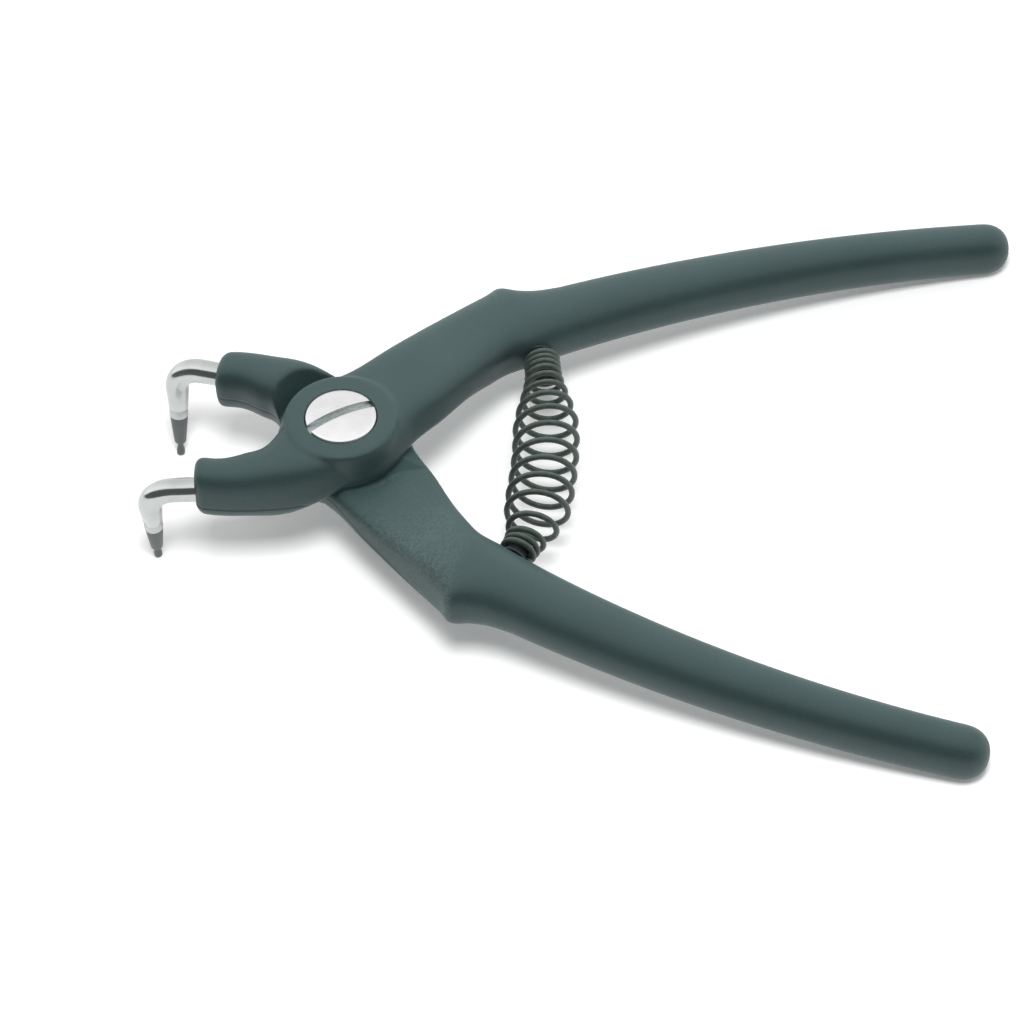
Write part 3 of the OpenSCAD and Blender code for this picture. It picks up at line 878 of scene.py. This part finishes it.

# %% [markdown]
# ## Parting line and blasted flanks
# Where the two dies met, a thin groove is left along the neck's upright flanks, and it is painted
# dark as painted shade in the groove. The outer flank behind the joint has a coarse blasted skin,
# which is rougher and is also painted lighter as painted light from the floor. Both are finer
# than the mesh, so they are masks. A mask is worked out from the place and the direction of the
# surface in the piece's own coordinates, and so it stays where it is when a lever turns.

# %% Sums for masks
def maths(operation, a, b=0.5):
    node = nodes.new("ShaderNodeMath")
    node.operation = operation
    feed(node.inputs[0], a)
    feed(node.inputs[1], b)
    return node.outputs[0]


def limit(value, low=0, high=1):
    return maths("MINIMUM", maths("MAXIMUM", value, low), high)


def past(a, b, run):
    """How far a lies past b, as a share of the run, between 0 and 1."""
    return limit(maths("DIVIDE", maths("SUBTRACT", a, b), run))


def opposite(value):
    return maths("SUBTRACT", 1, value)


def product(first, *others):
    for other in others:
        first = maths("MULTIPLY", first, other)
    return first


place_of, facing = (nodes.new("ShaderNodeSeparateXYZ").outputs for _ in range(2))
links.new(coords.outputs["Object"], place_of[0].node.inputs[0])
links.new(coords.outputs["Normal"], facing[0].node.inputs[0])
upright = opposite(limit(product(maths("ABSOLUTE", facing["Z"]), 1.6)))
print("masks follow the place and the direction of the surface")

# %% Parting line
LINE_Z, LINE_SLOPE, LINE_FROM, LINE_DROP = 4.8 * MM, 0.185, 0.9 * MM, 1.85 * MM
LINE_HALF, LINE_SOFT, LINE_WANDER, LINE_FADE = 0.1 * MM, 0.25 * MM, 0.3 * MM, 30 * MM
drop = limit(maths("ADD", product(place_of["X"], LINE_SLOPE), LINE_FROM), 0, LINE_DROP)
height = maths("ADD", place_of["Z"], product(noise(160, 2), LINE_WANDER))
off_line = maths("ABSOLUTE", maths("SUBTRACT", height, maths("SUBTRACT", LINE_Z, drop)))
thin = opposite(past(off_line, LINE_HALF, LINE_SOFT))
fade = opposite(past(place_of["X"], LINE_FADE, LINE_FADE))
parting = product(thin, upright, fade)
lowest, highest = (round(z / MM, 2) for z in (LINE_Z - LINE_DROP, LINE_Z))
print("parting line lies", lowest, "to", highest, "mm above the joint's underside")

# %% Blasted flank, with painted light
BLAST_FROM, BLAST_GROWS, BLAST_TO, BLAST_ENDS = 1, 8, 27, 4
rise = past(place_of["X"], BLAST_FROM * MM, BLAST_GROWS * MM)
fall = past(BLAST_TO * MM, place_of["X"], BLAST_ENDS * MM)
outer = limit(product(facing["X"], -2.2))
grit = ramp_of(noise(2000, 3, 0.7), grey(0.15), grey(1), (0.4, 0.6))
blasted_and_painted_light = product(rise, fall, outer, grit)
print("outer flank is blasted from", BLAST_FROM, "to", BLAST_TO, "mm behind the pivot")

# %% Put the coat together
DULL, LINE_SHADE_SHARE = 0.2, 0.75
# The outer flank is painted lighter than the coat as painted light from the floor; its grit,
# roughness and relief are real.
skinned_with_painted_light = mixed(blasted_and_painted_light, speckled, (0.100, 0.148, 0.145, 1))
# The parting line is painted near black: painted shade of its groove.
lined_with_painted_shade = mixed(product(parting, LINE_SHADE_SHARE), skinned_with_painted_light, (0.012, 0.018, 0.018, 1))
links.new(lined_with_painted_shade, shader.inputs["Base Color"])
satin = ramp_of(grain, grey(0.42), grey(0.54))
links.new(maths("ADD", satin, product(blasted_and_painted_light, DULL)), shader.inputs["Roughness"])
forged = product(noise(2300, 2, 0.6), upright)
bump(
    (peel, 0.3, 0.02),
    (grain, 0.4, 0.014),
    (forged, 0.7, 0.05),
    (blasted_and_painted_light, 0.5, 0.05),
    (opposite(parting), 1, 0.10),
)
for piece in (upper_lever, lower_lever, upper_grip, lower_grip):
    piece.data.materials.clear()
    piece.data.materials.append(coat)
print("coat of", len(nodes), "nodes on levers and grips")

# %% [markdown]
# ## Bright rods, ground bands and dark cones
# The rods are polished, with faint lines along them from drawing. The band is ground, so it
# is a little duller. The cone and pin are hardened and left dark.

# %% Finishes of a tip
chrome, nodes, links, shader, coords = new_material("bright_rod")
shader.inputs["Metallic"].default_value = 1
lines = noise(900, 2, 0.5, (0.15, 1, 1))
colour(noise(250, 2), (0.50, 0.53, 0.525), (0.60, 0.63, 0.625))
roughness(lines, 0.10, 0.20)
bump((lines, 0.12, 0.008))

ground, nodes, links, shader, coords = new_material("ground_band")
shader.inputs["Metallic"].default_value = 1
rings = noise(2500, 2, 0.5, (0.2, 0.2, 3))
colour(rings, (0.50, 0.54, 0.53), (0.58, 0.62, 0.61))
roughness(rings, 0.28, 0.42)
bump((rings, 0.15, 0.01))

dark, nodes, links, shader, coords = new_material("hardened_dark_steel")
shader.inputs["Metallic"].default_value = 0.6
spots = noise(1800, 3)
colour(spots, (0.125, 0.143, 0.14), (0.155, 0.175, 0.172))
roughness(spots, 0.38, 0.52)
bump((spots, 0.1, 0.008))

for piece in (upper_tip, lower_tip):
    for material in (chrome, ground, dark):
        piece.data.materials.append(material)
print("three finishes on each tip")

# %% [markdown]
# ## Bright screw
# The screw is bright, with fine rings from the lathe round its axis, which is the origin here.
# Its slot is milled, so it is duller and has marks across it, and it is also painted darker as
# painted shade in the recess. The faces of the slot are found by their place in the slot's own
# direction.

# %% Finishes of the screw
bright, nodes, links, shader, coords = new_material("turned_bright_steel")
shader.inputs["Metallic"].default_value = 1
wave = nodes.new("ShaderNodeTexWave")
wave.wave_type, wave.rings_direction = "RINGS", "Z"
wave.inputs["Scale"].default_value = 1400
wave.inputs["Distortion"].default_value = 1.5
links.new(coords.outputs["Object"], wave.inputs["Vector"])
haze = noise(400, 3)
colour(haze, (0.80, 0.80, 0.80), (0.87, 0.87, 0.87))
roughness(haze, 0.22, 0.34)
bump((wave.outputs["Fac"], 0.1, 0.006))

# The slot's darker colour is partly its milled finish and partly painted shade in the recess.
milled_and_shaded, nodes, links, shader, coords = new_material("milled_slot_painted_shade")
shader.inputs["Metallic"].default_value = 1
marks = noise(1500, 2, 0.5, (1, 0.2, 1))
colour(marks, (0.44, 0.52, 0.50), (0.60, 0.67, 0.65))
roughness(marks, 0.40, 0.55)
bump((marks, 0.2, 0.01))

for material in (bright, milled_and_shaded):
    screw.data.materials.append(material)
across = Matrix.Rotation(math.radians(-SLOT_TURN), 3, "Z")
slot_z = LAP_T + rim_z - SLOT_D
for face in screw.data.polygons:
    spot = across @ face.center / MM
    in_slot = abs(spot.y) < SLOT_W / 2 - 0.01 and spot.z > slot_z - 0.05
    dome = face.normal.z > 0.9 and spot.z > slot_z + 0.1
    face.material_index = 1 if in_slot and not dome else 0
print(sum(f.material_index for f in screw.data.polygons), "milled faces in the slot")

# %% [markdown]
# ## Dark pegs and spring wire
# The pegs sit in the shade inside the end coils, so they are painted near black: painted shade,
# not a finish of their own.
# The spring is dark hardened wire with an oily, slightly green sheen.

# %% Finishes of pegs and spring
# Near black peg colour: painted shade inside the end coils.
shaded, nodes, links, shader, coords = new_material("peg_painted_shade")
peg_shade_noise = noise(1500, 3)
colour(peg_shade_noise, (0.010, 0.016, 0.016), (0.018, 0.026, 0.026))
roughness(peg_shade_noise, 0.5, 0.65)
bump((peg_shade_noise, 0.15, 0.01))
for piece in (upper_peg, lower_peg):
    piece.data.materials.append(shaded)

wire, nodes, links, shader, coords = new_material("oiled_spring_wire")
shader.inputs["Metallic"].default_value = 0.2
streaks = noise(1300, 3)
colour(streaks, (0.060, 0.084, 0.072), (0.098, 0.126, 0.110))
roughness(streaks, 0.32, 0.46)
bump((streaks, 0.15, 0.01))
spring.data.materials.append(wire)
print("pegs and spring finished")

# %% [markdown]
# ## Floor
# The tool rests on its two pins and the ends of its handles, so the floor leans a few degrees
# in this frame. It is plain and white, as a sheet of paper under the tool would be. It gives
# a little light of its own, so that it stays white to its far side, and the light it throws
# back on the tool is made more even than the lit floor alone would give.

# %% Lay the floor
PIN_FOOT, HANDLE_FOOT = Vector((-28.8, 0, -12.35)), Vector((97.0, 0, 1.55))
FLOOR_HALF = 1500
tilt = math.atan2(HANDLE_FOOT.z - PIN_FOOT.z, HANDLE_FOOT.x - PIN_FOOT.x)
bm = bmesh.new()
bmesh.ops.create_grid(bm, x_segments=4, y_segments=4, size=FLOOR_HALF)
bmesh.ops.rotate(bm, cent=(0, 0, 0), matrix=Matrix.Rotation(-tilt, 3, "Y"), verts=bm.verts)
bmesh.ops.translate(bm, vec=PIN_FOOT, verts=bm.verts)
floor = keep(bm, "floor")
print("floor leans", round(math.degrees(tilt), 2), "degrees")

# %% Finish of the floor
pale, nodes, links, shader, coords = new_material("pale_floor")
for name, value in (
    ("Base Color", grey(0.93)), ("Roughness", 0.9), ("Specular IOR Level", 0.1),
    ("Emission Color", grey(1)), ("Emission Strength", 0.14),
):
    shader.inputs[name].default_value = value
even = nodes.new("ShaderNodeEmission")
even.inputs["Strength"].default_value = 0.8
rays = nodes.new("ShaderNodeLightPath")
share = nodes.new("ShaderNodeMapRange")
share.inputs["To Min"].default_value = 0.7
links.new(rays.outputs["Is Camera Ray"], share.inputs["Value"])
seen = nodes.new("ShaderNodeMixShader")
for source, socket in zip((share, even, shader), seen.inputs):
    links.new(source.outputs[0], socket)
surface = next(n for n in nodes if n.type == "OUTPUT_MATERIAL").inputs["Surface"]
links.new(seen.outputs[0], surface)
floor.data.materials.append(pale)
print("floor is plain and white")

# %% [markdown]
# ## Light
# Product photographs are lit by softboxes. A key above and a rim behind light the tool only,
# and a third one lights the floor only, so that the tool's brightness and its shadow are set
# apart from each other. None of them shows as a square in the bright metal, because what
# the metal mirrors comes from the surround alone.

# %% Set up the softboxes
def softbox(name, place, target, size, watts):
    light = bpy.data.objects.new(name, bpy.data.lights.new(name, "AREA"))
    scene.collection.objects.link(light)
    light.data.shape, light.data.size, light.data.energy = "SQUARE", size, watts
    light.location = place
    light.rotation_mode = "QUATERNION"
    light.rotation_quaternion = (Vector(place) - Vector(target)).to_track_quat("Z", "Y")
    return light


centre = Vector((0.035, 0, 0))
key = softbox("key", (0.06, 0.06, 0.75), centre, 0.30, 1.6)
rim = softbox("rim", (0.05, 0.65, 0.42), centre, 0.50, 3.9)
rim.data.use_shadow = False
low = softbox("floor_light", (0.06, -0.25, 0.70), centre, 0.22, 4.4)
tool_set, floor_set = bpy.data.collections.new("tool"), bpy.data.collections.new("ground")
for piece in (
    upper_lever, lower_lever, upper_grip, lower_grip, upper_tip, lower_tip,
    upper_peg, lower_peg, screw, spring,
):
    tool_set.objects.link(piece)
floor_set.objects.link(floor)
for light, lit in ((key, tool_set), (rim, tool_set), (low, floor_set)):
    light.visible_glossy = False
    light.light_linking.receiver_collection = lit
print("two softboxes for the tool, one for the floor")

# %% [markdown]
# ## Surround
# Bright rods show the room round them: a bright back, and a dark band where the dim front of
# the room is. A gradient from front to back gives both. Dull surfaces get a weaker gradient
# of their own, and behind the floor the camera sees plain white.

# %% Build the surround
world = bpy.data.worlds.new("studio")
scene.world = world
world.use_nodes = True
nodes, links = world.node_tree.nodes, world.node_tree.links
sky = nodes["Background"]
coords = nodes.new("ShaderNodeTexCoord")
facing = nodes.new("ShaderNodeVectorMath")
facing.operation = "DOT_PRODUCT"
facing.inputs[1].default_value = (0, 0.87, 0.493)
links.new(coords.outputs["Generated"], facing.inputs[0])
back_share = facing.outputs["Value"]
mirror = ramp_of(back_share, grey(0.12), grey(0.92), (0.0, 1.0))
for stop, level in ((0.10, 1.35), (0.45, 1.2)):
    mirror.node.color_ramp.elements.new(stop).color = grey(level)
dull_side = ramp_of(back_share, grey(0.22), grey(0.62), (0.0, 0.5))
rays = nodes.new("ShaderNodeLightPath").outputs
plain = mixed(rays["Is Camera Ray"], mirror, grey(1.0))
links.new(mixed(rays["Is Diffuse Ray"], plain, dull_side), sky.inputs["Color"])
scene.view_settings.view_transform = "Standard"
print("surround has a bright back and a dim front")
